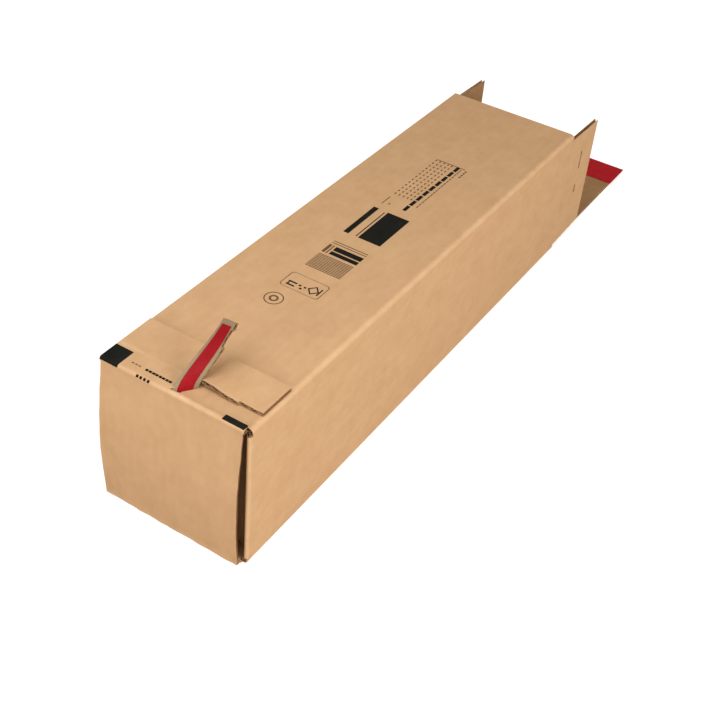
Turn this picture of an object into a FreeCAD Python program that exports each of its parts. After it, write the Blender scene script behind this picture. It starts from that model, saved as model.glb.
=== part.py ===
import FreeCAD, Part
import os
import re

import Sketcher

# A square postal tube, die-cut and folded from one sheet of corrugated board. It lies on its bottom panel.
# X runs across, Y along the tube from the closed near end to the open far end, and Z up from the underside.
doc = FreeCAD.newDocument("mailing_tube")

DRIVING_SIZES = {
    "inside_width": 105,
    "inside_height": 105,
    "inside_length": 430,
    "board": 3,
    "fold_radius": 3,
    "running_gap": 0.3,
    "corner_relief": 1.5,
    "lap_width": 30,
    "lap_setback": 6,
    "tongue_depth": 48,
    "tongue_corner": 3,
    "dust_flap_length": 52,
    "dust_flap_taper": 2,
    "glued_inset": 2,
    "end_heel": 2.4,
    "end_bulge": 4.6,
    "tear_band": 4.5,
    "tear_width": 14,
    "tear_start": -2,
    "tear_slant": 10,
    "strip_width": 13.3,
    "strip_lost_border": 3.6,
    "strip_thinning": 0.2,
    "strip_crease": 6,
    "strip_rise": 35.6,
    "strip_lean": 32.6,
    "strip_sway": 9.3,
    "strip_sag": 5,
    "tape_width": 8,
    "tape_thickness": 0.15,
    "adhesive_thickness": 0.2,
    "adhesive_inset": 3,
    "liner_thickness": 0.2,
    "liner_width": 32,
    "liner_overhang": 1.8,
    "liner_tip_overhang": 3.5,
}

sheet = doc.addObject("Spreadsheet::Sheet", "sizes")
for row, (name, size) in enumerate(DRIVING_SIZES.items(), start=1):
    sheet.set("A%d" % row, name)
    sheet.set("B%d" % row, str(size))
    sheet.setAlias("B%d" % row, name)
doc.recompute()


def formula(text):
    """A formula of plain size names, made to read the sheet."""
    return re.sub(r"[a-z_]+", lambda word: "sizes." + word[0] if word[0] in DRIVING_SIZES else word[0], text)


def value(text):
    """The number that a formula of size names gives now."""
    return float(sheet.evalExpression(formula(text)))


# Lines of the folded tube, as formulas of the driving sizes.
OUTER_WIDTH = "(inside_width + 2 * board)"
OUTER_HEIGHT = "(inside_height + 2 * board)"
HALF_OUTER_WIDTH = "(inside_width / 2 + board)"
HALF_INSIDE_WIDTH = "(inside_width / 2)"
CEILING = "(inside_height + board)"
SIDE_WALL_END = "(inside_length / 2)"
TUBE_END = "(inside_length / 2 + board)"
END_PANEL_INNER = "(inside_length / 2 + board + running_gap)"
END_PANEL_OUTER = "(inside_length / 2 + 2 * board + running_gap)"
CLOSURE_HALF_WIDTH = "(inside_width / 2 - running_gap)"
CLOSURE_WIDTH = "(inside_width - 2 * running_gap)"
GLUED_HALF_WIDTH = "(inside_width / 2 + board - glued_inset)"
GLUED_WIDTH = "(inside_width + 2 * board - 2 * glued_inset)"
TONGUE_UNDERSIDE = "(inside_height + 2 * board + adhesive_thickness)"
TONGUE_TOP = "(inside_height + 3 * board + adhesive_thickness)"
NEAR_TONGUE_EDGE = "(tongue_depth - inside_length / 2 - 2 * board - running_gap)"
GLUE_ROOM = "(running_gap + adhesive_thickness + liner_thickness)"
TONGUE_HINGE = "(%s + inside_height + board + %s)" % (END_PANEL_INNER, GLUE_ROOM)
FLAP_LOW = "(board + corner_relief)"
FLAP_HIGH = "(inside_height + board - corner_relief)"
TEAR_FRONT = "(tear_band - inside_length / 2 - 2 * board - running_gap)"
TEAR_BACK = "(tear_band + tear_width - inside_length / 2 - 2 * board - running_gap)"
FAR_TONGUE_EDGE = "(%s + tongue_depth)" % TONGUE_HINGE
LINER_START = "(%s + liner_tip_overhang - liner_width)" % FAR_TONGUE_EDGE
BEYOND = "(2 * board)"
STRIP_STEPS = 8
TIP_GUIDE_SHARE = 0.4
TIP_WIDTH_DIRECTION = FreeCAD.Vector(0.96, -0.23, 0.27)


def new_body(name):
    body = doc.addObject("PartDesign::Body", name)
    body.Label = name
    return body


def begins_at(sketch, side, start):
    """The numbers of a side's first and last point: an arc keeps its own points anticlockwise."""
    return (1, 2) if sketch.getPoint(side, 1).distanceToPoint(start) < 1e-6 else (2, 1)


def outline(body, name, role, corners, offset="0", bows=None):
    """A closed sketch through corners, each a pair of formulas; bows gives the rise of a side that is an arc."""
    bows = bows or {}
    sketch = body.newObject("Sketcher::SketchObject", name)
    plane = next(feature for feature in body.Origin.OriginFeatures if feature.Role == role)
    sketch.AttachmentSupport = [(plane, "")]
    sketch.MapMode = "FlatFace"
    sketch.setExpression("AttachmentOffset.Base.z", formula(offset))
    points = [FreeCAD.Vector(value(x), value(y), 0) for x, y in corners]
    following = points[1:] + points[:1]
    for side, (start, end) in enumerate(zip(points, following)):
        if side in bows:
            outward = (end - start).cross(FreeCAD.Vector(0, 0, 1)).normalize()
            middle = (start + end) * 0.5 + outward * value(bows[side])
            sketch.addGeometry(Part.Arc(start, middle, end))
        else:
            sketch.addGeometry(Part.LineSegment(start, end))
    tips = [begins_at(sketch, side, start) for side, start in enumerate(points)]
    for side in range(len(points)):
        after = (side + 1) % len(points)
        sketch.addConstraint(Sketcher.Constraint("Coincident", side, tips[side][1], after, tips[after][0]))
    for side, (x, y) in enumerate(corners):
        for direction, text in (("DistanceX", x), ("DistanceY", y)):
            rule = Sketcher.Constraint(direction, -1, 1, side, tips[side][0], value(text))
            index = sketch.addConstraint(rule)
            sketch.setExpression("Constraints[%d]" % index, formula(text))
    for side, rise in bows.items():
        (x0, y0), (x1, y1) = corners[side], corners[(side + 1) % len(corners)]
        chord_squared = "((%s - %s)^2 + (%s - %s)^2)" % (x1, x0, y1, y0)
        radius = "(%s / 4 + %s^2) / (2 * abs(%s))" % (chord_squared, rise, rise)
        index = sketch.addConstraint(Sketcher.Constraint("Radius", side, value(radius)))
        sketch.setExpression("Constraints[%d]" % index, formula(radius))
    doc.recompute()
    return sketch


def extrude(body, kind, name, sketch, depth):
    """Pads or pockets a sketch by a depth centred on its plane."""
    before = body.Shape.Volume if body.Shape.Solids else 0
    feature = body.newObject("PartDesign::" + kind, name)
    feature.Profile = sketch
    feature.Midplane = True
    feature.setExpression("Length", formula(depth))
    doc.recompute()
    if abs(feature.Shape.Volume - before) < 1e-3:
        raise RuntimeError(name + " changes nothing")
    return feature


def rectangle(left, right, low, high):
    return [(left, low), (right, low), (right, high), (left, high)]


def round_edges(body, name, chosen, radius):
    """Rounds the edges of the body that the test picks."""
    names = ["Edge%d" % n for n, edge in enumerate(body.Shape.Edges, start=1) if chosen(edge)]
    base = body.Tip
    fillet = body.newObject("PartDesign::Fillet", name)
    fillet.Base = (base, names)
    fillet.setExpression("Radius", formula(radius))
    doc.recompute()
    return fillet


def runs_along(edge, axis):
    """Whether a straight edge lies along an axis of the frame, 0, 1 or 2."""
    if len(edge.Vertexes) != 2:
        return False
    step = edge.Vertexes[1].Point - edge.Vertexes[0].Point
    return abs(abs(step[axis]) - edge.Length) < 1e-6


def folded_walls():
    """Four walls folded round, with the near pair of dust flaps turned in behind the end panel.

    The top panel's left edge is a cut edge: a lap from the left wall is glued under it and closes the tube.
    """
    body = new_body("folded_walls")
    half = "(%s / 2)" % OUTER_WIDTH
    section = outline(body, "wall_section", "XZ_Plane",
                      rectangle("-" + half, half, "0 * board", OUTER_HEIGHT))
    extrude(body, "Pad", "wall_block", section, "2 * " + TUBE_END)
    middle = value(OUTER_HEIGHT + " / 2")
    round_edges(body, "long_folds", lambda edge: runs_along(edge, 1)
                and (edge.CenterOfMass.x > 0 or edge.CenterOfMass.z < middle), "fold_radius")
    hollow = outline(body, "hollow_section", "XZ_Plane",
                     rectangle("-" + HALF_INSIDE_WIDTH, HALF_INSIDE_WIDTH, "board", CEILING),
                     offset="-(%s + %s + %s) / 2" % (TUBE_END, BEYOND, "-" + SIDE_WALL_END))
    extrude(body, "Pocket", "hollow", hollow, "%s + %s + %s" % (TUBE_END, BEYOND, SIDE_WALL_END))
    side_trim = outline(body, "far_side_trim", "YZ_Plane",
                        rectangle(SIDE_WALL_END + " - running_gap", TUBE_END + " + " + BEYOND,
                                  "board", CEILING))
    extrude(body, "Pocket", "far_side_ends", side_trim, "%s + 2 * %s" % (OUTER_WIDTH, BEYOND))
    beyond_left = "-%s - %s" % (HALF_OUTER_WIDTH, BEYOND)
    beyond_right = "%s + %s" % (HALF_OUTER_WIDTH, BEYOND)
    slit_shape = [(beyond_left, "board"), (beyond_right, "board"), (beyond_right, FLAP_LOW),
                  ("running_gap", FLAP_LOW), ("running_gap", FLAP_HIGH), (beyond_right, FLAP_HIGH),
                  (beyond_right, CEILING), (beyond_left, CEILING), (beyond_left, FLAP_HIGH),
                  ("-running_gap", FLAP_HIGH), ("-running_gap", FLAP_LOW), (beyond_left, FLAP_LOW)]
    slits = outline(body, "near_flap_slits", "XZ_Plane", slit_shape, offset=TUBE_END)
    extrude(body, "Pocket", "near_flap_edges", slits, "2 * (board + running_gap)")
    near = -value(TUBE_END)
    corner = value(HALF_OUTER_WIDTH)

    def is_flap_fold(edge):
        middle = edge.CenterOfMass
        at_corner = abs(middle.y - near) < 1e-3 and abs(abs(middle.x) - corner) < 1e-3
        return runs_along(edge, 2) and at_corner and edge.Length > corner

    round_edges(body, "near_flap_folds", is_flap_fold, "fold_radius")
    lap = outline(body, "lap_section", "XZ_Plane",
                  rectangle("-" + HALF_INSIDE_WIDTH, "lap_width - " + HALF_INSIDE_WIDTH,
                            "inside_height", CEILING))
    extrude(body, "Pad", "glued_lap", lap, "inside_length - 2 * lap_setback")
    return body


def near_closure():
    """Near end panel, bowed outward, its tongue folded back over the top and its tear strip torn out.

    The panel's heel stands further out than its head.
    """
    body = new_body("near_closure")
    profile = [("-" + TUBE_END, "0 * board"), ("-" + TUBE_END, "board"),
               ("-%s - end_heel" % END_PANEL_INNER, "board"), ("-" + END_PANEL_INNER, TONGUE_UNDERSIDE),
               (NEAR_TONGUE_EDGE, TONGUE_UNDERSIDE), (NEAR_TONGUE_EDGE, TONGUE_TOP),
               ("-" + END_PANEL_OUTER, TONGUE_TOP), ("-%s - end_heel" % END_PANEL_OUTER, "0 * board")]
    side = outline(body, "closure_profile", "YZ_Plane", profile, bows={2: "-end_bulge", 6: "end_bulge"})
    extrude(body, "Pad", "closure_sheet", side, GLUED_WIDTH)
    head, heel = -value(END_PANEL_OUTER), -value(END_PANEL_OUTER + " + end_heel")
    round_edges(body, "closure_folds", lambda edge: runs_along(edge, 0)
                and min(abs(edge.CenterOfMass.y - head), abs(edge.CenterOfMass.y - heel)) < 1e-3, "fold_radius")
    opening = [("tear_start", TEAR_FRONT), (HALF_OUTER_WIDTH, TEAR_FRONT), (HALF_OUTER_WIDTH, TEAR_BACK),
               ("tear_start + tear_slant", TEAR_BACK)]
    torn = outline(body, "torn_strip", "XY_Plane", opening, offset="%s + board / 2" % TONGUE_UNDERSIDE)
    extrude(body, "Pocket", "torn_opening", torn, "2 * board - 2 * adhesive_thickness")
    return body


def strip_frames():
    """Places along the torn strip: it stands up at the slanted torn edge, then leans back."""
    edge = FreeCAD.Vector(value("tear_slant"), value("tear_width"), 0)
    mid_tear = "(%s + %s) / 2" % (TEAR_FRONT, TEAR_BACK)
    root = FreeCAD.Vector(value("tear_start + tear_slant / 2"), value(mid_tear), value(TONGUE_UNDERSIDE))
    tip = root + FreeCAD.Vector(value("strip_sway"), value("strip_lean"), value("strip_rise"))
    sagged = tip - (tip - root) * TIP_GUIDE_SHARE - FreeCAD.Vector(0, 0, value("strip_sag"))
    guides = [root, root + FreeCAD.Vector(0, 0, value("strip_crease")), sagged, tip]
    width_at_root = FreeCAD.Vector(edge).normalize()
    frames = []
    for step in range(STRIP_STEPS + 1):
        t = step / STRIP_STEPS
        weights = ((1 - t) ** 3, 3 * t * (1 - t) ** 2, 3 * t ** 2 * (1 - t), t ** 3)
        slopes = (-3 * (1 - t) ** 2, 3 * (1 - t) * (1 - 3 * t), 3 * t * (2 - 3 * t), 3 * t ** 2)
        centre = sum((guide * weight for guide, weight in zip(guides, weights)), FreeCAD.Vector())
        along = sum((guide * slope for guide, slope in zip(guides, slopes)), FreeCAD.Vector()).normalize()
        across = (width_at_root * (1 - t) + TIP_WIDTH_DIRECTION * t).normalize()
        slanted = 1 + (edge.Length / edge.y - 1) * (1 - t)
        frames.append((t, centre, across, along.cross(across).normalize(), slanted))
    return frames


def swept_sheet(width, lost, low, high):
    """A sheet along the torn strip, between two heights over its middle, less what is lost at its tip."""
    sections = []
    for t, centre, across, backward, slanted in strip_frames():
        half = across * ((width * slanted - lost * t) / 2)
        corners = [centre - half + backward * low, centre + half + backward * low,
                   centre + half + backward * high, centre - half + backward * high]
        sections.append(Part.makePolygon(corners + corners[:1]))
    return Part.makeLoft(sections, True, True)


def plain_solid(name, shape):
    item = doc.addObject("Part::Feature", name)
    item.Shape = shape
    return item


def box(name, x, y, z, length, width, height):
    """A flat strip as a box, placed and sized by formulas."""
    item = doc.addObject("Part::Box", name)
    for target, text in (("Placement.Base.x", x), ("Placement.Base.y", y), ("Placement.Base.z", z),
                         ("Length", length), ("Width", width), ("Height", height)):
        item.setExpression(target, formula(text))
    return item


def fused(name, *items):
    whole = doc.addObject("Part::MultiFuse", name)
    whole.Label = name
    whole.Shapes = list(items)
    doc.recompute()
    return whole


def carton():
    half = value("board - strip_thinning") / 2
    strip = swept_sheet(value("strip_width"), value("strip_lost_border"), -half, half)
    return fused("carton", folded_walls(), near_closure(), plain_solid("torn_strip_board", strip))


def tear_tape():
    """Tape under the tear strip: flat below the half that is whole, then up the underside of the torn half."""
    under = value("board - strip_thinning") / 2
    thickness = value("tape_thickness")
    raised = plain_solid("raised_tape", swept_sheet(value("tape_width"), 0, -under - thickness, -under))
    body = new_body("flat_tape")
    middle = "(%s + %s) / 2" % (TEAR_FRONT, TEAR_BACK)
    across = "tape_width / 2"
    slope = "tear_slant / tear_width"
    past_edge = "(tear_start + tear_slant / 2 + board - strip_thinning)"
    corners = [("-" + GLUED_HALF_WIDTH, "%s - %s" % (middle, across)),
               ("%s - %s * %s" % (past_edge, across, slope), "%s - %s" % (middle, across)),
               ("%s + %s * %s" % (past_edge, across, slope), "%s + %s" % (middle, across)),
               ("-" + GLUED_HALF_WIDTH, "%s + %s" % (middle, across))]
    level = TONGUE_UNDERSIDE + " - tape_thickness / 2"
    extrude(body, "Pad", "flat_tape_sheet", outline(body, "flat_tape_outline", "XY_Plane", corners, level),
            "tape_thickness")
    return fused("tear_tape", body, raised)


def near_adhesive():
    """Glue line that holds the near tongue down on the top panel."""
    strip = box("near_adhesive", "adhesive_inset - " + GLUED_HALF_WIDTH, TEAR_BACK + " + adhesive_inset",
                OUTER_HEIGHT, GLUED_WIDTH + " - 2 * adhesive_inset",
                "%s - %s - 2 * adhesive_inset" % (NEAR_TONGUE_EDGE, TEAR_BACK), "adhesive_thickness")
    strip.Label = "near_adhesive"
    return strip


def plain_flap(name, role, corners, offset, rounded=None):
    """A flat piece of board with the outline given, its thickness centred on an offset plane."""
    body = new_body(name)
    extrude(body, "Pad", name + "_board", outline(body, name + "_outline", role, corners, offset), "board")
    if rounded:
        round_edges(body, name + "_corners", rounded, "tongue_corner")
    return body


def end_panel():
    """Far end panel, hanging open in line with the bottom panel."""
    corners = rectangle("-" + CLOSURE_HALF_WIDTH, CLOSURE_HALF_WIDTH, END_PANEL_INNER,
                        TONGUE_HINGE + " - running_gap")
    return plain_flap("end_panel", "XY_Plane", corners, "board / 2")


def closure_tongue():
    """Far tongue, open in line with the end panel."""
    corners = rectangle("-" + CLOSURE_HALF_WIDTH, CLOSURE_HALF_WIDTH, TONGUE_HINGE, FAR_TONGUE_EDGE)
    tip = value(TONGUE_HINGE + " + tongue_depth / 2")
    return plain_flap("closure_tongue", "XY_Plane", corners, "board / 2",
                      lambda edge: runs_along(edge, 2) and edge.CenterOfMass.y > tip)


def dust_flap(name, side):
    """Far dust flap, open in line with its side wall; side is its sign across the tube."""
    tip = SIDE_WALL_END + " + dust_flap_length"
    corners = [(SIDE_WALL_END, FLAP_LOW), (tip, FLAP_LOW + " + dust_flap_taper"),
               (tip, FLAP_HIGH + " - dust_flap_taper"), (SIDE_WALL_END, FLAP_HIGH)]
    return plain_flap(name, "YZ_Plane", corners, side + "(%s + board / 2)" % HALF_INSIDE_WIDTH)


def far_adhesive():
    """Unused glue line on the far tongue."""
    strip = box("far_adhesive", "adhesive_inset - " + CLOSURE_HALF_WIDTH,
                LINER_START + " + adhesive_inset", "board", CLOSURE_WIDTH + " - 2 * adhesive_inset",
                "%s - %s - 2 * adhesive_inset" % (FAR_TONGUE_EDGE, LINER_START), "adhesive_thickness")
    strip.Label = "far_adhesive"
    return strip


def release_liner():
    """Peel-off liner over the far glue line, standing out past the tongue's sides and tip."""
    strip = box("release_liner", "-%s - liner_overhang" % CLOSURE_HALF_WIDTH, LINER_START,
                "board + adhesive_thickness", CLOSURE_WIDTH + " + 2 * liner_overhang", "liner_width",
                "liner_thickness")
    strip.Label = "release_liner"
    return strip


NODES = [carton(), tear_tape(), near_adhesive(), end_panel(), closure_tongue(), far_adhesive(),
         release_liner(), dust_flap("left_dust_flap", "-"), dust_flap("right_dust_flap", "")]
doc.recompute()

for item in doc.Objects:
    if "Invalid" in item.State or "Error" in item.State:
        raise RuntimeError("%s is not sound: %s" % (item.Name, item.State))
for node in NODES:
    if node.Shape.isNull() or not node.Shape.isValid():
        raise RuntimeError(node.Label + " has no valid shape")

os.makedirs("parts", exist_ok=True)
for node in NODES:
    node.Shape.exportStep("parts/%s.step" % node.Label)
    print("%-16s solids %d  volume %.0f mm3" % (node.Label, len(node.Shape.Solids), node.Shape.Volume))
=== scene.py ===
import math

import bpy
from mathutils import Matrix, Vector, noise


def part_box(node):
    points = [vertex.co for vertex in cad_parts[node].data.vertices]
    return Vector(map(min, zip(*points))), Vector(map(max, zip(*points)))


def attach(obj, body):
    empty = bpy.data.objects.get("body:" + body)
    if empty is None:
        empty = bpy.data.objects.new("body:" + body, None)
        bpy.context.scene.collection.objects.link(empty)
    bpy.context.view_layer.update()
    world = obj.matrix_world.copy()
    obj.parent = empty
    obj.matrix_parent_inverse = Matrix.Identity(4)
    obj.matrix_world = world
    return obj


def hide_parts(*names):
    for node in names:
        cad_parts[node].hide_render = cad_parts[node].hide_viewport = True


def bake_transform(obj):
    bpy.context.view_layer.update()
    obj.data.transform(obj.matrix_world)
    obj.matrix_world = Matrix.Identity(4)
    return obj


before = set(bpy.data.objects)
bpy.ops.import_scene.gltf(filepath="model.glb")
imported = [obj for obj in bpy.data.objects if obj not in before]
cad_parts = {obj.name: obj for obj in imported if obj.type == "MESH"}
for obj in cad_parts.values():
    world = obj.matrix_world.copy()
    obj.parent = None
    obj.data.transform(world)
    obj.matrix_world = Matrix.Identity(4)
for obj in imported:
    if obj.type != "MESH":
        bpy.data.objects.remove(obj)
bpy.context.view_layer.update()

mm = 0.001


# The folded walls: one sheet of corrugated board, two kraft liners glued to a wave of fluting paper. The
# flutes run along the tube, so creases along them are crisp and creases across them wavy. A lap off the left
# wall is glued under the top panel's cut edge, and the near dust flaps fold in behind the near end panel.
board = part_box("end_panel")[1].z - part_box("end_panel")[0].z
liner = 0.28 * mm
fluting = 0.22 * mm
pitch = 6.6 * mm
inside_radius = 0.3 * mm
held_back = 1.3 * mm
kraft_colour = (0.652, 0.407, 0.219)
kraft_dark = (0.565, 0.334, 0.168)
# The inside liner is coloured darker than the outside one: painted shade on the board's inside faces.
inside_shaded_colour = (0.43, 0.242, 0.115)
inside_shaded_dark = (0.34, 0.18, 0.08)
fluting_colour = (0.47, 0.285, 0.15)
fluting_dark = (0.35, 0.2, 0.1)
# The paler fold colour: wear on pressed folds and torn edges, and a painted highlight on the walls' long
# folds.
worn_and_highlight_colour = (0.74, 0.51, 0.31)

half_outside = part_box("carton")[1].x
half_inside = half_outside - board
tube_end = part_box("carton")[1].y
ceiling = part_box("near_adhesive")[0].z - board
side_wall_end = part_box("right_dust_flap")[0].y
lap_width = 30 * mm
lap_setback = 9 * mm
corner_relief = 1.5 * mm
flap_gap = 0.3 * mm


def kraft(name, colour, dark, worn_and_highlight=None, ridges=0.25, gloss=0.2):
    """Unbleached paper: cloudy and flecked, with fibres across the flutes, which show faintly through it."""
    material = bpy.data.materials.new(name)
    material.use_nodes = True
    tree = material.node_tree
    shader = tree.nodes["Principled BSDF"]
    shader.inputs["Specular IOR Level"].default_value = gloss

    def node(kind, **settings):
        made = tree.nodes.new("ShaderNode" + kind)
        for key, setting in settings.items():
            setattr(made, key, setting)
        return made

    def math_of(operation, first, second):
        made = node("Math", operation=operation)
        for socket, given in zip(made.inputs, (first, second)):
            if isinstance(given, (int, float)):
                socket.default_value = given
            else:
                tree.links.new(given, socket)
        return made.outputs[0]

    def cloud(stretch, detail):
        mapping = node("Mapping")
        mapping.inputs["Scale"].default_value = stretch
        tree.links.new(blank.outputs["Vector"], mapping.inputs["Vector"])
        made = node("TexNoise")
        made.inputs["Scale"].default_value = 1
        made.inputs["Detail"].default_value = detail
        tree.links.new(mapping.outputs["Vector"], made.inputs["Vector"])
        return made.outputs["Fac"]

    blank = node("Attribute", attribute_name="blank")
    clouds = cloud((55, 38, 300), 3)
    patches = cloud((150, 110, 700), 2)
    fibres = cloud((420, 2600, 2600), 4)
    flecks = cloud((1500, 1900, 2300), 1)
    across = node("SeparateXYZ")
    tree.links.new(blank.outputs["Vector"], across.inputs["Vector"])
    wave = math_of("SINE", math_of("MULTIPLY", across.outputs["X"], 2 * math.pi / pitch), 0)
    tone = math_of("ADD", math_of("MULTIPLY", clouds, 1.1), math_of("MULTIPLY", patches, 0.9))
    tone = math_of("ADD", tone, math_of("MULTIPLY", fibres, 0.9))
    tone = math_of("SUBTRACT", tone, 0.98)
    tone = math_of("ADD", tone, math_of("MULTIPLY", wave, 0.03))
    tone = math_of("SUBTRACT", tone, math_of("MULTIPLY", math_of("GREATER_THAN", flecks, 0.71), 0.35))
    base = node("Mix", data_type="RGBA")
    tree.links.new(tone, base.inputs["Factor"])
    base.inputs[6].default_value = (*dark, 1)
    base.inputs[7].default_value = (*colour, 1)
    finished = base.outputs[2]
    # Paler where the crease attribute is set: wear on pressed folds and torn edges, and a painted highlight
    # on the long folds.
    if worn_and_highlight:
        crease = node("Attribute", attribute_name="crease")
        paled = math_of("MULTIPLY", crease.outputs["Fac"], math_of("MULTIPLY", patches, 1.1))
        paling = node("Mix", data_type="RGBA")
        tree.links.new(paled, paling.inputs["Factor"])
        tree.links.new(finished, paling.inputs[6])
        paling.inputs[7].default_value = (*worn_and_highlight, 1)
        finished = paling.outputs[2]
    tree.links.new(finished, shader.inputs["Base Color"])
    tree.links.new(math_of("ADD", math_of("MULTIPLY", patches, 0.2), 0.7), shader.inputs["Roughness"])
    height = math_of("ADD", math_of("MULTIPLY", wave, ridges), math_of("MULTIPLY", fibres, 0.5))
    bump = node("Bump")
    bump.inputs["Distance"].default_value = 0.06 * mm
    tree.links.new(height, bump.inputs["Height"])
    tree.links.new(bump.outputs["Normal"], shader.inputs["Normal"])
    return material


outer_paper = kraft("kraft_outside", kraft_colour, kraft_dark, worn_and_highlight_colour)
inner_paper = kraft("kraft_inside_shaded", inside_shaded_colour, inside_shaded_dark)
fluting_paper = kraft("fluting", fluting_colour, fluting_dark, ridges=0)


def sheet_mesh(name, layers, across, along, place, kept, crease, materials):
    """Closed layers of a sheet, on a grid of the flat sheet whose points place puts where they lie."""
    points, faces, slots, blank, paled = [], [], [], [], []
    cells = [(i, j) for i in range(len(across) - 1) for j in range(len(along) - 1) if kept(i, j)]
    held = set(cells)
    for slot, spot, low, high in layers:
        found = {}

        def corner(i, j, top):
            key = (i, j, top)
            if key not in found:
                a, b = spot(i, j)
                depth = high(a) if top else low(a)
                found[key] = len(points)
                points.append(place(a, b, depth))
                blank.append((a, b, depth))
                paled.append(crease(a, b))
            return found[key]

        for i, j in cells:
            ring = ((i, j), (i + 1, j), (i + 1, j + 1), (i, j + 1))
            faces.append([corner(*place_on_grid, 1) for place_on_grid in ring])
            faces.append([corner(*place_on_grid, 0) for place_on_grid in reversed(ring)])
            rim = (((i - 1, j), (i, j + 1), (i, j)), ((i + 1, j), (i + 1, j), (i + 1, j + 1)),
                   ((i, j - 1), (i, j), (i + 1, j)), ((i, j + 1), (i + 1, j + 1), (i, j + 1)))
            for beside, first, second in rim:
                if beside not in held:
                    faces.append([corner(*first, 0), corner(*second, 0),
                                  corner(*second, 1), corner(*first, 1)])
        slots.extend([slot] * (len(faces) - len(slots)))
    mesh = bpy.data.meshes.new(name)
    mesh.from_pydata(points, [], faces)
    for material in materials:
        mesh.materials.append(material)
    mesh.polygons.foreach_set("material_index", slots)
    flat = mesh.attributes.new("blank", "FLOAT_VECTOR", "POINT")
    flat.data.foreach_set("vector", [number for point in blank for number in point])
    paling = mesh.attributes.new("crease", "FLOAT", "POINT")
    paling.data.foreach_set("value", paled)
    mesh.polygons.foreach_set("use_smooth", [True] * len(faces))
    mesh.set_sharp_from_angle(angle=math.radians(35))
    piece = bpy.data.objects.new(name, mesh)
    bpy.context.scene.collection.objects.link(piece)
    return piece


def corrugated(name, across, along, place, kept=lambda i, j: True, crease=lambda a, b: 0, spot=None,
               thickness=board):
    """Board on a grid of the flat sheet: an outer liner, an inner liner and the fluting between them."""
    spot = spot or (lambda i, j: (across[i], along[j]))
    swing = thickness / 2 - liner - fluting / 2

    def wave(a):
        return thickness / 2 + swing * math.sin(2 * math.pi * a / pitch)

    layers = ((0, spot, lambda a: thickness - liner, lambda a: thickness),
              (1, spot, lambda a: 0, lambda a: liner),
              (2, spot, lambda a: wave(a) - fluting / 2, lambda a: wave(a) + fluting / 2))
    return sheet_mesh(name, layers, across, along, place, kept, crease,
                      (outer_paper, inner_paper, fluting_paper))


def steps(start, end, size):
    """Even steps from start to end, no longer than size."""
    count = max(1, math.ceil(abs(end - start) / size - 1e-6))
    return [start + (end - start) * n / count for n in range(count + 1)]


def merged(*runs):
    """One rising list of places, without doubles."""
    places = sorted(place for run in runs for place in run)
    return [place for n, place in enumerate(places) if n == 0 or place - places[n - 1] > 1e-7]


def folded_route(corners, outside_radii):
    """Folded board seen along its creases: the legs and creases of its inside face, with flat lengths."""
    route, done = [], 0
    corners = [Vector(corner) for corner in corners]
    for n, (start, end) in enumerate(zip(corners, corners[1:])):
        heading = (end - start).normalized()
        outward = Vector((heading.y, -heading.x))
        base = start + heading * (held_back if n else 0)
        creased = n < len(outside_radii)
        length = (end - base).length - (held_back if creased else 0)
        route.append(("leg", done, length, base, heading, outward, 0))
        done += length
        if creased:
            middle = (inside_radius + outside_radii[n]) / 2
            flat = 2 * (held_back + board / 2 - middle) + middle * math.pi / 2
            route.append(("crease", done, flat, end, heading, outward, outside_radii[n]))
            done += flat
    return route


def on_route(route, length, depth):
    """The point at that length along the route and depth through the board, and how creased it is there."""
    for kind, start, size, base, heading, outward, radius in route:
        if length <= start + size + 1e-9:
            break
    if kind == "leg":
        return base + heading * (length - start) + outward * depth, 0
    turn = inside_radius + (radius - inside_radius) * depth / board
    straight = held_back + depth - turn
    whole = 2 * straight + turn * math.pi / 2
    gone = whole * (length - start) / size
    corner = base + (outward + heading) * depth
    beside = max(straight - gone, gone - (whole - straight), 0)
    creased = max(0, 1 - beside / (0.8 * mm))
    if gone < straight:
        return corner - heading * (turn + straight - gone), creased
    if gone > whole - straight:
        return corner - outward * (turn + straight - (whole - gone)), creased
    angle = (gone - straight) / turn
    arc = outward * math.cos(angle) + heading * math.sin(angle)
    return corner - (outward + heading) * turn + arc * turn, creased


long_radius = 3.2 * mm
low_radius = 2.6 * mm
wall_legs = folded_route([(lap_width - half_inside, ceiling - board), (-half_inside, ceiling - board),
                          (-half_inside, board), (half_inside, board), (half_inside, ceiling),
                          (-half_outside, ceiling)], (long_radius, low_radius, low_radius, long_radius))
left_leg, right_leg, top_leg = wall_legs[2], wall_legs[6], wall_legs[8]
top_front = tube_end - 1.5 * mm
relief_notch = 4.5 * mm
flap_pivot = 1.5 * mm
pressed = 0.45
pressed_reach = 6 * mm
drawn_reach = 80 * mm
near_fold = tube_end - flap_pivot - 0.2 * mm
fold_angle = math.radians(150)
near_bend = flap_pivot * fold_angle
leaning = fold_angle - math.pi / 2
flap_straight = 4 * mm
flap_curve = 11 * mm
flap_reach = 50 * mm
curl_start = near_fold + near_bend
curl_end = curl_start + flap_straight + flap_curve
near_edge = curl_start + flap_reach


def side_wall_of(a):
    """-1 on the part of the left wall that runs on into its dust flap, 1 on the right, 0 elsewhere."""
    place, _ = on_route(wall_legs, a, 0)
    inner = board + corner_relief - 1e-6 < place.y < ceiling - corner_relief + 1e-6
    for side, leg in ((-1, left_leg), (1, right_leg)):
        if leg[1] - 1e-6 <= a <= leg[1] + leg[2] + 1e-6 and inner:
            return side
    return 0


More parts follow.
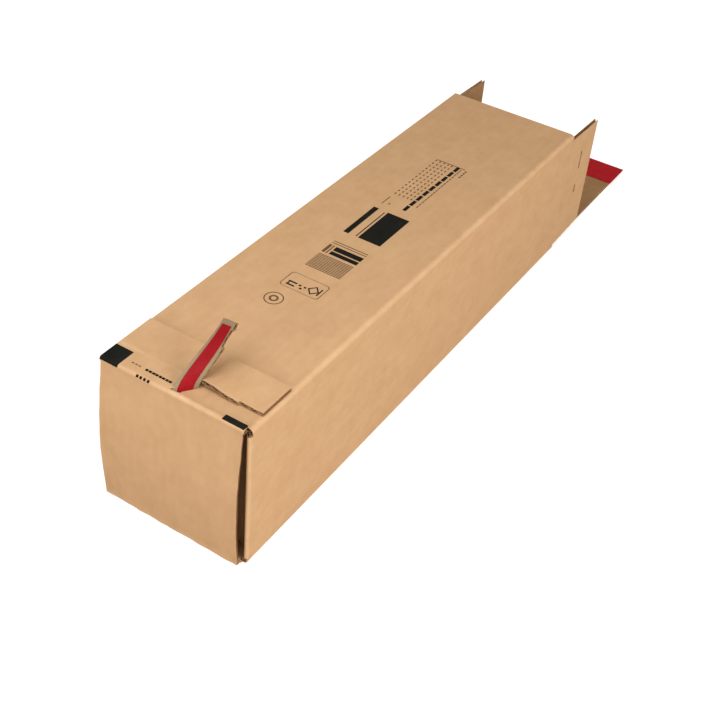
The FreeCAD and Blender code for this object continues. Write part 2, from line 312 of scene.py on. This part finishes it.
def wall_place(a, b, depth):
    """b counts from the tube's middle to the near end, round the sharp fold and on into the dust flap."""
    point, _ = on_route(wall_legs, a, depth)
    side = side_wall_of(a)
    if not side:
        return (point.x, -min(b, tube_end), point.y)
    ramp = min(max((b - near_fold + drawn_reach) / drawn_reach, 0), 1)
    drawn_in = (1.6 - 2.2 * (1 - point.y / ceiling)) * mm * ramp * ramp
    if b <= near_fold:
        thick = pressed + (1 - pressed) * min((near_fold - b) / pressed_reach, 1)
        return (side * (half_outside - (board - depth) * thick), drawn_in - b, point.y)
    centre = half_outside - flap_pivot
    if b <= near_fold + near_bend:
        angle = (b - near_fold) / flap_pivot
        radius = flap_pivot - (board - depth) * pressed
        y = drawn_in - near_fold - radius * math.sin(angle)
        return (side * (centre + radius * math.cos(angle)), y, point.y)
    gone = b - near_fold - near_bend
    curved = min(max(gone - flap_straight, 0), flap_curve)
    rate = leaning / flap_curve
    slope = leaning - rate * curved
    straight = min(gone, flap_straight)
    x = centre + flap_pivot * math.cos(fold_angle) - math.cos(leaning) * straight
    y = drawn_in - near_fold - flap_pivot * math.sin(fold_angle) + math.sin(leaning) * straight
    x -= (math.sin(leaning) - math.sin(slope)) / rate + max(gone - flap_straight - flap_curve, 0)
    y += (math.cos(slope) - math.cos(leaning)) / rate
    thick = (board - depth) * (pressed + (1 - pressed) * min(gone / pressed_reach, 1))
    return (side * (x + math.sin(slope) * thick), y + math.cos(slope) * thick, point.y)


def wall_crease(a, b):
    """The long folds are painted a little paler as a highlight; the near dust flaps' sharp folds are rubbed
    paler.
    """
    creased = 0.3 * on_route(wall_legs, a, 0)[1]
    if side_wall_of(a):
        creased = max(creased, 0.6 - abs(b - near_fold) / (3 * mm))
    return creased


low_flap, high_flap = board + corner_relief, ceiling - corner_relief
flute_step = pitch / 6
wall_across = merged(*(steps(leg[1], leg[1] + leg[2], flute_step if leg[0] == "leg" else 0.5 * mm)
                       for leg in wall_legs),
                     [left_leg[1] + (left_leg[3].y - level) for level in (low_flap, high_flap)],
                     [right_leg[1] + (level - right_leg[3].y) for level in (low_flap, high_flap)])
wall_along = merged(steps(-tube_end, near_fold - 90 * mm, 60 * mm),
                    steps(near_fold - 90 * mm, near_fold - 10 * mm, 10 * mm),
                    steps(near_fold - 10 * mm, near_fold, 1.7 * mm),
                    [-side_wall_end, lap_setback - tube_end, tube_end - lap_setback],
                    [tube_end - relief_notch, top_front, tube_end],
                    steps(near_fold, curl_start, near_bend / 8),
                    steps(curl_start, curl_end, 1.5 * mm), steps(curl_end, near_edge, 12 * mm))


def wall_kept(i, j):
    """Keeps the cells of the blank: the lap and the top stop short, and only the dust flaps run on."""
    a, b = (wall_across[i] + wall_across[i + 1]) / 2, (wall_along[j] + wall_along[j + 1]) / 2
    if a < left_leg[1]:
        return abs(b) < tube_end - lap_setback
    if side_wall_of(a):
        return b > -side_wall_end
    on_side = any(leg[1] <= a <= leg[1] + leg[2] for leg in (left_leg, right_leg))
    if b < -side_wall_end and on_side:
        return False
    if a < right_leg[1]:
        return b < tube_end
    return b < (tube_end - relief_notch if a < top_leg[1] + 1.5 * mm else top_front)


walls = corrugated("folded_walls", wall_across, wall_along, wall_place, wall_kept, wall_crease)
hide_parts("carton")
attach(walls, "tube")


# The near end: the bottom panel's flap folds up as the end panel and back over the top as a glued tongue. It
# bows out, its side edges are rough, and a tear strip was pulled from the right as far as the middle. The
# tongue's torn edge is left lifted off the top panel beside the strip.
glue_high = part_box("near_adhesive")[1]
tongue_under = glue_high.z
glue_inset = 3 * mm
tongue_back = -glue_high.y - glue_inset
half_closure = glue_high.x + glue_inset
head_inside = tube_end - 1.1 * mm
heel_inside = tube_end + 2.6 * mm
head_lean = heel_inside - head_inside
skew = 1.3 * mm
bow_left, bow_right = 3.9 * mm, 3.0 * mm
tear_band = 4.5 * mm
tear_width = 14 * mm
tear_front = tube_end + flap_gap + board - tear_band
tear_back = tear_front - tear_width
tear_left = -2 * mm
tear_slant = 10 * mm
tear_step = 36 * mm
torn_recess = 1.4 * mm
slant_reach = 22 * mm
slant_fade = 12 * mm
ragged_reach = 3 * mm
lift = 3.6 * mm
lift_middle = 12 * mm
lift_reach = 24 * mm
foot_reach = 7 * mm
liner_overlap = 1.4 * mm

closure_legs = folded_route([(-tongue_back - head_lean, tongue_under), (-heel_inside, tongue_under),
                             (-heel_inside, board), (-tube_end, board)], (2 * mm, 1.3 * mm))
tongue_leg, panel_leg, hem_leg = closure_legs[::2]
top_fold, bottom_fold = closure_legs[1::2]
row_back = tear_back - tongue_back
row_front = tear_front - tongue_back
tear_middle = tear_left + tear_slant / 2


def rough(place, seed, size):
    """Smooth noise along an edge, from -1 to 1."""
    return noise.noise(Vector((place / size, seed, 0.37)))


def closure_place(a, b, depth):
    """a runs across the tube from its middle, b from the tongue's back edge over the end to its foot."""
    point, _ = on_route(closure_legs, b, depth)
    y, z = point.x, point.y
    down = min(max((b - panel_leg[1]) / panel_leg[2], 0), 1)
    x = a - skew * down
    y += head_lean * (1 - down)
    bow = (bow_left + bow_right) / 2 + (bow_right - bow_left) / 2 * a / half_closure
    y -= bow * math.sin(math.pi * down ** 1.08)
    foot = max(0, b - bottom_fold[1] + foot_reach) / foot_reach
    if foot:
        foot = min(foot, 1)
        z += foot * 0.35 * mm * (1 + rough(a, 4.1, 9 * mm)) * (foot if b < bottom_fold[1] else 1)
        y += foot * 0.45 * mm * rough(a, 8.3, 7 * mm)
        x -= 0.6 * mm * foot * foot * max(0, -a / half_closure - 0.9) * 10
    if b < row_front and a < tear_middle + tear_slant or b < row_back + 1.5 * mm:
        beside = math.exp(-((a - lift_middle) / (15 * mm if a > lift_middle else 9 * mm)) ** 2)
        if b < row_back + 1.5 * mm:
            raised = max(0, 1 - (row_back - b) / lift_reach) ** 2
        else:
            raised = 1 - (b - row_back) / (row_front - row_back)
        z += lift * beside * min(raised, 1)
    if depth < board - liner and b > panel_leg[1]:
        x -= liner_overlap * max(0, a / half_closure - 0.9) * 10
    return (x, y, z)


def closure_crease(a, b):
    """The head fold and the cut lines of the tear strip are paler, most of all beside the torn strip."""
    folded = on_route(closure_legs, b, 0)[1]
    if b > panel_leg[1]:
        return 0.25 * folded
    sliver = math.exp(-((a - 6 * mm) / (8 * mm)) ** 2)
    front_line = (0.35 + 0.55 * sliver) * max(0, 1 - abs(b - row_front - 0.8 * mm) / (1.4 * mm))
    back_line = 0.9 * max(0, 1 - abs(b - row_back + 1 * mm) / (1.6 * mm)) * (1 if a < -34 * mm else 0.35)
    return max(folded * 0.22, front_line, back_line)


closure_across = merged(steps(-half_closure, tear_middle, flute_step),
                        steps(tear_middle, half_closure, flute_step), [half_closure - 0.4 * mm])
closure_along = merged(steps(0, row_back - 4 * mm, 3 * mm), steps(row_back - 4 * mm, row_back, 0.8 * mm),
                       steps(row_back, row_front, 1.4 * mm), steps(row_front, tongue_leg[2], 0.8 * mm),
                       steps(top_fold[1], top_fold[1] + top_fold[2], 0.3 * mm),
                       steps(panel_leg[1], panel_leg[1] + panel_leg[2], 3.2 * mm),
                       steps(bottom_fold[1], bottom_fold[1] + bottom_fold[2], 0.35 * mm),
                       steps(hem_leg[1], hem_leg[1] + hem_leg[2], 1 * mm))
slant_column = min(range(len(closure_across)), key=lambda n: abs(closure_across[n] - tear_middle))


def closure_spot(i, j):
    """Moves the grid so that a column follows the slanted tear, and the torn and cut edges are rough."""
    a, b = closure_across[i], closure_along[j]
    reach = max(0, 1 - abs(a - tear_middle) / slant_reach)
    share = (row_front - b) / (row_front - row_back)
    fade = max(0, 1 - max(0, b - row_front, row_back - b) / slant_fade)
    slanted = (min(max(share, 0), 1) - 0.5) * tear_slant * reach * fade
    if i > slant_column:
        near_back = max(0, 1 - abs(b - row_back) / (3 * mm))
        b += near_back * (0.22 * mm * rough(a, 1.7, 6 * mm) - (torn_recess if a > tear_step else 0))
        if abs(b - row_front) < 1e-6:
            b -= 0.25 * mm * (1 + rough(a, 5.2, 5 * mm))
    if panel_leg[1] - 1 * mm < b < bottom_fold[1] + bottom_fold[2]:
        edge = max(0, abs(a) - (half_closure - ragged_reach)) / ragged_reach
        ragged = 0.4 * mm * (1 + rough(b, 2.9 + a, 16 * mm)) + 0.3 * mm * (1 + rough(b, 7.7, 5 * mm))
        a -= math.copysign(ragged * edge, a)
    return a + slanted, b


def closure_kept(i, j):
    """Leaves out the torn half of the tear strip."""
    b = (closure_along[j] + closure_along[j + 1]) / 2
    return not (row_back < b < row_front and i >= slant_column)


closure = corrugated("near_closure", closure_across, closure_along, closure_place, closure_kept,
                     closure_crease, closure_spot)
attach(closure, "tube")


# The torn strip: the right half of the tear strip, pulled up and left standing on its slanted root. Its
# underside faces front, with grey-brown paper each side of the red tear tape. Part of its right border is
# lost.
strip_length = 49.5 * mm
strip_thickness = board - 0.2 * mm
strip_half = 13.3 * mm / 2
strip_root = Vector((tear_middle, -(tear_front + tear_back) / 2, tongue_under))
strip_tip = strip_root + Vector((9.3 * mm, 32.4 * mm, 35 * mm))
strip_sag = Vector((0, 0, 5 * mm))
strip_guides = (strip_root, strip_root + Vector((0, 0, 6 * mm)),
                strip_tip - (strip_tip - strip_root) * 0.4 - strip_sag, strip_tip)
root_direction = Vector((tear_slant, tear_front - tear_back, 0)).normalized()
tip_direction = Vector((0.96, -0.23, 0.27))
root_stretch = math.hypot(tear_slant, tear_front - tear_back) / (tear_front - tear_back)


def strip_place(a, b, depth):
    """a runs up the strip, b across it from its middle to the right, depth back from the taped side."""
    t = min(max(a / strip_length, 0), 1)
    weights = ((1 - t) ** 3, 3 * t * (1 - t) ** 2, 3 * t ** 2 * (1 - t), t ** 3)
    slopes = (-3 * (1 - t) ** 2, 3 * (1 - t) * (1 - 3 * t), 3 * t * (2 - 3 * t), 3 * t ** 2)
    centre = sum((guide * weight for guide, weight in zip(strip_guides, weights)), Vector((0, 0, 0)))
    along = sum((guide * slope for guide, slope in zip(strip_guides, slopes)), Vector((0, 0, 0)))
    along = along.normalized()
    across = (root_direction * (1 - t) + tip_direction * t).normalized()
    backward = along.cross(across).normalized()
    stretch = 1 + (root_stretch - 1) * (1 - t)
    return tuple(centre + across * b * stretch + backward * (depth - strip_thickness / 2))


def strip_edge(a, side):
    """How far the strip reaches to each side of its middle at that length."""
    t = a / strip_length
    if side < 0:
        return strip_half - 0.9 * mm * t + 0.2 * mm * rough(a, 3.3, 4 * mm)
    lost = 0.74 < t < 0.93
    full = strip_half - 0.8 * mm * t
    return (4.3 * mm if lost else full) + 0.3 * mm * rough(a, 6.1, 3 * mm)


strip_across = steps(0, strip_length, pitch / 8)
strip_along = steps(-1, 1, 0.25)


def strip_spot(i, j):
    """Stretches each row of the grid to the strip's own edges."""
    a, share = strip_across[i], strip_along[j]
    return a, share * strip_edge(a, share)


under_colour = (0.33, 0.245, 0.15)
under_dark = (0.25, 0.18, 0.1)
under_paper = kraft("strip_underside", under_colour, under_dark)
strip = corrugated("torn_strip", strip_across, strip_along, strip_place, spot=strip_spot,
                   thickness=strip_thickness)
strip.data.materials[1] = under_paper
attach(strip, "tube")


# The tear tape: a red film tape glued under the tear strip. It lies flat where the strip is whole, and
# stands up with the torn half.
tape_half = 4 * mm
tape_thickness = 0.15 * mm
tape_top = 0.955 * strip_length
tape_colour = (0.36, 0.008, 0.014)
tape_dark = (0.23, 0.003, 0.006)


def film(name, colour, dark, roughness, ripple, gloss=0.4):
    """Coloured film or coated paper: nearly even, with fine pulled ripples and a satin shine."""
    material = bpy.data.materials.new(name)
    material.use_nodes = True
    tree = material.node_tree
    shader = tree.nodes["Principled BSDF"]
    shader.inputs["Specular IOR Level"].default_value = gloss
    place = tree.nodes.new("ShaderNodeTexCoord")
    clouds = tree.nodes.new("ShaderNodeTexNoise")
    clouds.inputs["Scale"].default_value = 180
    clouds.inputs["Detail"].default_value = 3
    ripples = tree.nodes.new("ShaderNodeTexNoise")
    ripples.inputs["Scale"].default_value = 700
    for texture in (clouds, ripples):
        tree.links.new(place.outputs["Object"], texture.inputs["Vector"])
    blend = tree.nodes.new("ShaderNodeMix")
    blend.data_type = "RGBA"
    blend.inputs[6].default_value = (*dark, 1)
    blend.inputs[7].default_value = (*colour, 1)
    tree.links.new(clouds.outputs["Fac"], blend.inputs["Factor"])
    tree.links.new(blend.outputs[2], shader.inputs["Base Color"])
    shine = tree.nodes.new("ShaderNodeMapRange")
    shine.inputs["To Min"].default_value = roughness - 0.08
    shine.inputs["To Max"].default_value = roughness + 0.1
    tree.links.new(ripples.outputs["Fac"], shine.inputs["Value"])
    tree.links.new(shine.outputs["Result"], shader.inputs["Roughness"])
    bump = tree.nodes.new("ShaderNodeBump")
    bump.inputs["Distance"].default_value = ripple
    tree.links.new(clouds.outputs["Fac"], bump.inputs["Height"])
    tree.links.new(bump.outputs["Normal"], shader.inputs["Normal"])
    return material


red_film = film("tear_tape_film", tape_colour, tape_dark, 0.5, 0.12 * mm, 0.12)
tape_across = steps(0, tape_top, 1.5 * mm)
tape_along = steps(-tape_half, tape_half, 1 * mm)
tape = sheet_mesh("tear_tape_raised", ((0, lambda i, j: (tape_across[i], tape_along[j]),
                                        lambda a: -tape_thickness, lambda a: 0.02 * mm),),
                  tape_across, tape_along, strip_place, lambda i, j: True, lambda a, b: 0, (red_film,))
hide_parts("tear_tape")
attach(tape, "tube")

tape_row = (row_back + row_front) / 2
flat_tape_across = steps(-half_closure, tear_middle, 4 * mm)
flat_tape_along = steps(tape_row - tape_half, tape_row + tape_half, 4 * mm)
flat_tape = sheet_mesh("tear_tape_flat", ((0, lambda i, j: (flat_tape_across[i], flat_tape_along[j]),
                                           lambda a: -tape_thickness, lambda a: 0.02 * mm),),
                       flat_tape_across, flat_tape_along, closure_place, lambda i, j: True, lambda a, b: 0,
                       (red_film,))
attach(flat_tape, "tube")


# The near glue line: a thin pale layer of hot-melt that holds the tongue down on the top panel. The tongue
# hides it almost wholly, so it keeps its plain shape and only takes its own colour.
glue_colour = (0.72, 0.66, 0.5)
glue_dark = (0.6, 0.52, 0.36)
glue = film("glue", glue_colour, glue_dark, 0.45, 0.3 * mm)
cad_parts["near_adhesive"].data.materials.clear()
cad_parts["near_adhesive"].data.materials.append(glue)


# The far end: end panel, tongue and two dust flaps stand open, each in line with the wall it is creased to.
# A crease is the same board pressed flat, laid across the gap between the two walls.
panel_low, panel_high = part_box("end_panel")
tongue_low, tongue_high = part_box("closure_tongue")
tongue_corner = 3 * mm
flap_low, flap_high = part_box("right_dust_flap")
flap_taper = 2 * mm
crease_dent = 0.35 * mm
crease_overlap = 0.4 * mm


def flat_place(a, b, depth):
    """Board lying open on the floor, with its outside down."""
    return (a, b, board - depth)


panel_across = steps(panel_low.x, panel_high.x, flute_step)
panel_along = steps(panel_low.y, panel_high.y, 12 * mm)
end_panel = corrugated("far_end_panel", panel_across, panel_along, flat_place)
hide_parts("end_panel")
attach(end_panel, "end_panel")

tongue_across = merged(steps(tongue_low.x, tongue_high.x, flute_step),
                       steps(tongue_high.x - tongue_corner, tongue_high.x, 0.5 * mm),
                       steps(tongue_low.x, tongue_low.x + tongue_corner, 0.5 * mm))
tongue_along = merged(steps(tongue_low.y, tongue_high.y - tongue_corner, 8 * mm),
                      steps(tongue_high.y - tongue_corner, tongue_high.y, 0.75 * mm))


def tongue_spot(i, j):
    """Rounds the tongue's two free corners."""
    a, b = tongue_across[i], tongue_along[j]
    outside = max(0, abs(a) - (tongue_high.x - tongue_corner))
    reach = tongue_high.y - tongue_corner + math.sqrt(max(0, tongue_corner ** 2 - outside ** 2))
    share = max(0, b - (tongue_high.y - tongue_corner)) / tongue_corner
    return a, min(b, tongue_high.y - tongue_corner) + share * (reach - tongue_high.y + tongue_corner)


tongue = corrugated("far_tongue", tongue_across, tongue_along, flat_place, spot=tongue_spot,
                    kept=lambda i, j: True)
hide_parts("closure_tongue")
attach(tongue, "closure_tongue")

slit_place = flap_low.y + 27 * mm
slit_width = 2 * mm
slits = ((45 * mm, 53 * mm), (69 * mm, 86 * mm))
for side, name in ((-1, "left"), (1, "right")):
    flap_across = merged(steps(flap_low.z, flap_high.z, flute_step), *slits)
    flap_along = merged(steps(flap_low.y, flap_high.y, 10 * mm), [slit_place, slit_place + slit_width])

    def flap_spot(i, j):
        a, b = flap_across[i], flap_along[j]
        share = (b - flap_low.y) / (flap_high.y - flap_low.y)
        middle = (flap_low.z + flap_high.z) / 2
        half = (flap_high.z - flap_low.z) / 2
        return middle + (a - middle) * (1 - flap_taper * share / half), b

    def flap_place(a, b, depth, side=side):
        return (side * (half_inside + depth), b, a)

    def flap_kept(i, j):
        a, b = (flap_across[i] + flap_across[i + 1]) / 2, (flap_along[j] + flap_along[j + 1]) / 2
        in_slit = any(low < a < high for low, high in slits)
        return not (in_slit and slit_place < b < slit_place + slit_width)

    flap = corrugated(name + "_far_dust_flap", flap_across, flap_along, flap_place, flap_kept,
                      spot=flap_spot)
    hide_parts(name + "_dust_flap")
    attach(flap, name + "_dust_flap")


def crease_strip(name, across, along, place):
    """The pressed board of a crease, a little thinner than the walls, lying in the gap between two bodies.
    """
    low, high = crease_dent, board - crease_dent
    strip = sheet_mesh(name, ((0, lambda i, j: (across[i], along[j]), lambda a: low, lambda a: high),),
                       across, along, place, lambda i, j: True, lambda a, b: 1, (outer_paper,))
    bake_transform(strip)
    return strip


def across_gap(start, end):
    """Fine steps over the gap of a hinge, with an overlap on the board at each side."""
    return merged([start - crease_overlap], steps(start, end, 0.04 * mm), [end + crease_overlap])


panel_crease = steps(panel_low.x, panel_high.x, 3 * mm)
flap_crease = steps(flap_low.z, flap_high.z, 3 * mm)
flap_root = side_wall_end - flap_gap
crease_strip("end_panel_crease", panel_crease, across_gap(tube_end, panel_low.y), flat_place)
crease_strip("tongue_crease", panel_crease, across_gap(panel_high.y, tongue_low.y), flat_place)
for side, name in ((-1, "left"), (1, "right")):
    crease_strip(name + "_dust_crease", flap_crease, across_gap(flap_root, side_wall_end),
                 lambda a, b, depth, side=side: (side * (half_inside + depth), b, a))


# The unused glue line on the far tongue, and the red release paper stuck to it. The paper stands out past
# the tongue's sides and tip, and lies slightly wavy.
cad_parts["far_adhesive"].data.materials.clear()
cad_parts["far_adhesive"].data.materials.append(glue)
release_colour = (0.52, 0.008, 0.016)
release_dark = (0.4, 0.005, 0.01)
release_paper = film("release_paper", release_colour, release_dark, 0.55, 0.15 * mm, 0.12)
release_low, release_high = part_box("release_liner")
release_thickness = release_high.z - release_low.z


def release_place(a, b, depth):
    """The paper on its glue line, with a small ripple that stays clear of the top panel when shut."""
    ripple = 0.1 * mm * (1 + noise.noise(Vector((a / (22 * mm), b / (9 * mm), 1.3))))
    return (a, b, release_low.z + depth + ripple)


release_across = steps(release_low.x, release_high.x, 3 * mm)
release_along = steps(release_low.y, release_high.y, 2.5 * mm)
release_layer = (0, lambda i, j: (release_across[i], release_along[j]), lambda a: 0,
                 lambda a: release_thickness)
release = sheet_mesh("red_release_paper", (release_layer,), release_across, release_along, release_place,
                     lambda i, j: True, lambda a, b: 0, (release_paper,))
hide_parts("release_liner")
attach(release, "closure_tongue")


# The print: black flexographic ink straight on the kraft, thin at its edges. The shapes are plain ones:
# a ring, a framed row of signs, bars, a solid block and a table of dashes, with marks along the near fold.
ink_colour = (0.006, 0.009, 0.008)
ink_worn = (0.02, 0.017, 0.014)
faint_colour = (0.1, 0.055, 0.028)
faint_worn = (0.2, 0.115, 0.06)
ink_depth = 0.05 * mm
ink = kraft("black_ink", ink_colour, ink_worn, ridges=0, gloss=0.04)
faint_ink = kraft("faint_ink", faint_colour, faint_worn, ridges=0, gloss=0.06)


def bar(a0, a1, b0, b1, step=40):
    """A rectangle of the flat sheet, in millimetres, as rows of points."""
    return [[(a * mm, b * mm) for b in steps(b0, b1, step)] for a in steps(a0, a1, step)]


def line(points, width):
    """A closed line of that width, in millimetres, through the points of a convex outline."""
    centre = Vector((sum(a for a, b in points) / len(points), sum(b for a, b in points) / len(points)))
    rows = []
    for share in (-0.5, 0.5):
        moved = [Vector(point) + (Vector(point) - centre).normalized() * width * share for point in points]
        rows.append([(place.x * mm, place.y * mm) for place in moved + moved[:1]])
    return rows


def printed(name, shapes, place, paper):
    """Thin flat marks on the board's outside, each given as rows of points of the flat sheet."""
    points, faces, blank = [], [], []
    for rows in shapes:
        wide = len(rows[0])
        first = len(points)
        for depth in (board - ink_depth, board + ink_depth):
            for row in rows:
                for a, b in row:
                    points.append(place(a, b, depth))
                    blank.append((a, b, depth))
        size = len(rows) * wide
        for i in range(len(rows) - 1):
            for j in range(wide - 1):
                spot = first + i * wide + j
                faces.append([spot, spot + 1, spot + wide + 1, spot + wide])
                faces.append([size + spot, size + spot + wide, size + spot + wide + 1, size + spot + 1])
        rim = [first + j for j in range(wide)] + [first + i * wide + wide - 1 for i in range(1, len(rows))]
        rim += [first + size - wide + j for j in range(wide - 2, -1, -1)]
        rim += [first + i * wide for i in range(len(rows) - 2, 0, -1)]
        for spot, after in zip(rim, rim[1:] + rim[:1]):
            faces.append([spot, size + spot, size + after, after])
    mesh = bpy.data.meshes.new(name)
    mesh.from_pydata(points, [], faces)
    mesh.materials.append(paper)
    flat = mesh.attributes.new("blank", "FLOAT_VECTOR", "POINT")
    flat.data.foreach_set("vector", [number for point in blank for number in point])
    piece = bpy.data.objects.new(name, mesh)
    bpy.context.scene.collection.objects.link(piece)
    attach(piece, "tube")
    return piece


def top_place(a, b, depth):
    """A point of the top panel: a to the right of its middle, b along the tube, depth through the board."""
    return (a, b, ceiling + depth)


block = [bar(-3, 15, -14.5, 25.5), bar(-5.4, -4.6, -14, 24)]
band = [bar(-15.2, -11, -14.5, 26)]
bars = [bar(-13.8, 14.3, b, b + 0.8) for b in steps(-63.5, -47, 1.5)]
bars += [bar(-8, 14.3, -43.5, -39.6), bar(-8, 14.3, -38.4, -33.4), bar(-13.5, 14.2, -31, -30.2),
         bar(-13.5, 14.2, -28.6, -27.8), bar(-13.8, -11.5, -44, -33), bar(-10.5, -9.5, -44, -33)]
bold_line = [bar(3 + n * 0.25, 5.8 + n * 0.25, 35 + n * 8.8, 42.5 + n * 8.8) for n in range(9)]
signs = [bar(-11.5, -5, -89, -87.6), bar(-11.5, -5, -85.5, -84.1), bar(-11, -10, -87.8, -85.2),
         bar(-3.2, -1.6, -86, -84.4), bar(-1.2, 0.4, -88.6, -87), bar(0.8, 2.4, -86, -84.4),
         line([(4, -84.5), (7.8, -88.8), (11.6, -84.5), (7.8, -80.2)], 1.3), bar(11.8, 12.8, -88, -80)]


def circle(a, b, radius, count):
    """Points round a circle, in millimetres."""
    turns = (n * 2 * math.pi / count for n in range(count))
    return [(a + radius * math.cos(turn), b + radius * math.sin(turn)) for turn in turns]


def rounded_frame(a, b, half_wide, half_long, radius):
    """Points round a rectangle with round corners, in millimetres."""
    return [(a + side * (half_wide - radius) + radius * math.cos(turn),
             b + end * (half_long - radius) + radius * math.sin(turn))
            for side, end, start in ((1, 1, 0), (-1, 1, 90), (-1, -1, 180), (1, -1, 270))
            for turn in (math.radians(start + step * 22.5) for step in range(5))]


outlines = [line(circle(-8, -106.7, 6.3, 40), 0.8), line(rounded_frame(0, -83.2, 14.8, 8.4, 2.5), 0.6),
            line(circle(-8, -106.7, 2.6, 16), 1.5)]
printed("print_black", block + band + bold_line + bars[12:14] + signs, top_place, ink)
table = [bar(a, a + 1, b, b + 2.4) for a in (-13, -9.5, -6, -2.5, 0.6) for b in range(50, 112, 5)
         if (3 * a + 7 * b) % 10 < 8]
table += [bar(9.2, 10, 44 + n * 4, 47.2 + n * 4) for n in range(17)]
table += [bar(13, 14.4, 100 + n * 3.2, 102.2 + n * 3.2) for n in range(4)]
table += [bar(-13.5, -12.8, 33, 45), bar(-9, -8, 35, 37), bar(-12.6, 12, 112.6, 113.4)]
printed("print_faint", table + bars[:12] + bars[14:] + outlines, top_place, faint_ink)


# The marks of the near fold: a black square at the left corner, a bar at the right and rows of small dashes,
# printed across the fold in the same inks.
fold_start, fold_end = top_fold[1] / mm, (top_fold[1] + top_fold[2]) / mm
row_end = row_back / mm
marks = [bar(-half_closure / mm + 0.2, -39.6, row_end + 2, fold_end - 1.6, 0.3),
         bar(37.4, half_closure / mm - 0.3, fold_start - 0.8, fold_start + 2.3, 0.3)]
printed("fold_marks", marks, closure_place, ink)
dashes = [bar(a, a + 1.8, row_end + 14.8, row_end + 16, 0.6) for a in (-25.4, -22.8, -20, -17.2)]
dashes += [bar(a, a + 2.1, row_end + 8.8, row_end + 10.6, 0.6)
           for a in (-24, -21.4, -18.8, -16.4, -13.8, -11.4, -8.8, -6.4)]
printed("fold_dashes", dashes, closure_place, ink)
faint_dashes = [bar(a, a + 1.8, row_end + 9, row_end + 10, 0.6) for a in (-34.7, -32, -29.5)]
printed("fold_faint_dashes", faint_dashes, closure_place, faint_ink)


# The floor: a plain white sheet under the tube. It shows white to the camera, keeps the tube's shadow, and
# gives back a dim warm light.
floor_size = 6
floor_mesh = bpy.data.meshes.new("floor")
corners = [(x * floor_size, y * floor_size, -0.2 * mm) for x, y in ((-1, -1), (1, -1), (1, 1), (-1, 1))]
floor_mesh.from_pydata(corners, [], [(0, 1, 2, 3)])
floor = bpy.data.objects.new("floor", floor_mesh)
bpy.context.scene.collection.objects.link(floor)
floor_paint = bpy.data.materials.new("floor_white")
floor_paint.use_nodes = True
tree = floor_paint.node_tree
shader = tree.nodes["Principled BSDF"]
shader.inputs["Roughness"].default_value = 0.9
shader.inputs["Specular IOR Level"].default_value = 0.1
shader.inputs["Emission Color"].default_value = (1, 1, 1, 1)
path = tree.nodes.new("ShaderNodeLightPath")
tone = tree.nodes.new("ShaderNodeMix")
tone.data_type = "RGBA"
tone.inputs[6].default_value = (0.5, 0.46, 0.42, 1)
tone.inputs[7].default_value = (0.9, 0.9, 0.9, 1)
glow = tree.nodes.new("ShaderNodeMath")
glow.operation = "MULTIPLY"
glow.inputs[1].default_value = 0.55
tree.links.new(path.outputs["Is Camera Ray"], tone.inputs["Factor"])
tree.links.new(path.outputs["Is Camera Ray"], glow.inputs[0])
tree.links.new(tone.outputs[2], shader.inputs["Base Color"])
tree.links.new(glow.outputs[0], shader.inputs["Emission Strength"])
floor_mesh.materials.append(floor_paint)


# The light: an even sky that is white to the camera, a lamp high over the near end, a broad one at the right
# and one in front.
world = bpy.data.worlds.new("studio")
bpy.context.scene.world = world
world.use_nodes = True
sky = world.node_tree.nodes["Background"]
path = world.node_tree.nodes.new("ShaderNodeLightPath")
shade = world.node_tree.nodes.new("ShaderNodeMix")
shade.data_type = "RGBA"
shade.inputs[6].default_value = (0.4, 0.378, 0.344, 1)
shade.inputs[7].default_value = (1, 1, 1, 1)
world.node_tree.links.new(path.outputs["Is Camera Ray"], shade.inputs["Factor"])
world.node_tree.links.new(shade.outputs[2], sky.inputs["Color"])
for name, place, aim, size, power in (("top_lamp", (0, -0.45, 0.75), (0, -0.15, 0.1), 0.5, 2.5),
                                      ("right_lamp", (1.3, -0.35, 0.6), (0.05, 0, 0.05), 0.9, 14.5),
                                      ("front_lamp", (-0.1, -1.4, 0.5), (0, -0.2, 0.05), 0.7, 5.5)):
    lamp_data = bpy.data.lights.new(name, "AREA")
    lamp_data.shape = "DISK"
    lamp_data.size = size
    lamp_data.energy = power
    lamp = bpy.data.objects.new(name, lamp_data)
    bpy.context.scene.collection.objects.link(lamp)
    lamp.location = place
    lamp.rotation_euler = (Vector(aim) - lamp.location).to_track_quat("-Z", "Y").to_euler()


# The camera stands to the right of the near end, looking down along the tube. Its place comes from fitting
# the tube's edges in the photo.
camera_data = bpy.data.cameras.new("camera")
camera_data.sensor_width = 36
camera_data.lens = 59.331
camera = bpy.data.objects.new("camera", camera_data)
bpy.context.scene.collection.objects.link(camera)
camera.location = (0.343594, -0.606912, 0.574462)
right = Vector((0.838075, 0.541261, 0.068322))
up = Vector((-0.392763, 0.51169, 0.76414))
camera.rotation_mode = "QUATERNION"
camera.rotation_quaternion = Matrix((right, up, right.cross(up))).transposed().to_quaternion()
bpy.context.scene.camera = camera
bpy.context.scene.view_settings.view_transform = "Standard"
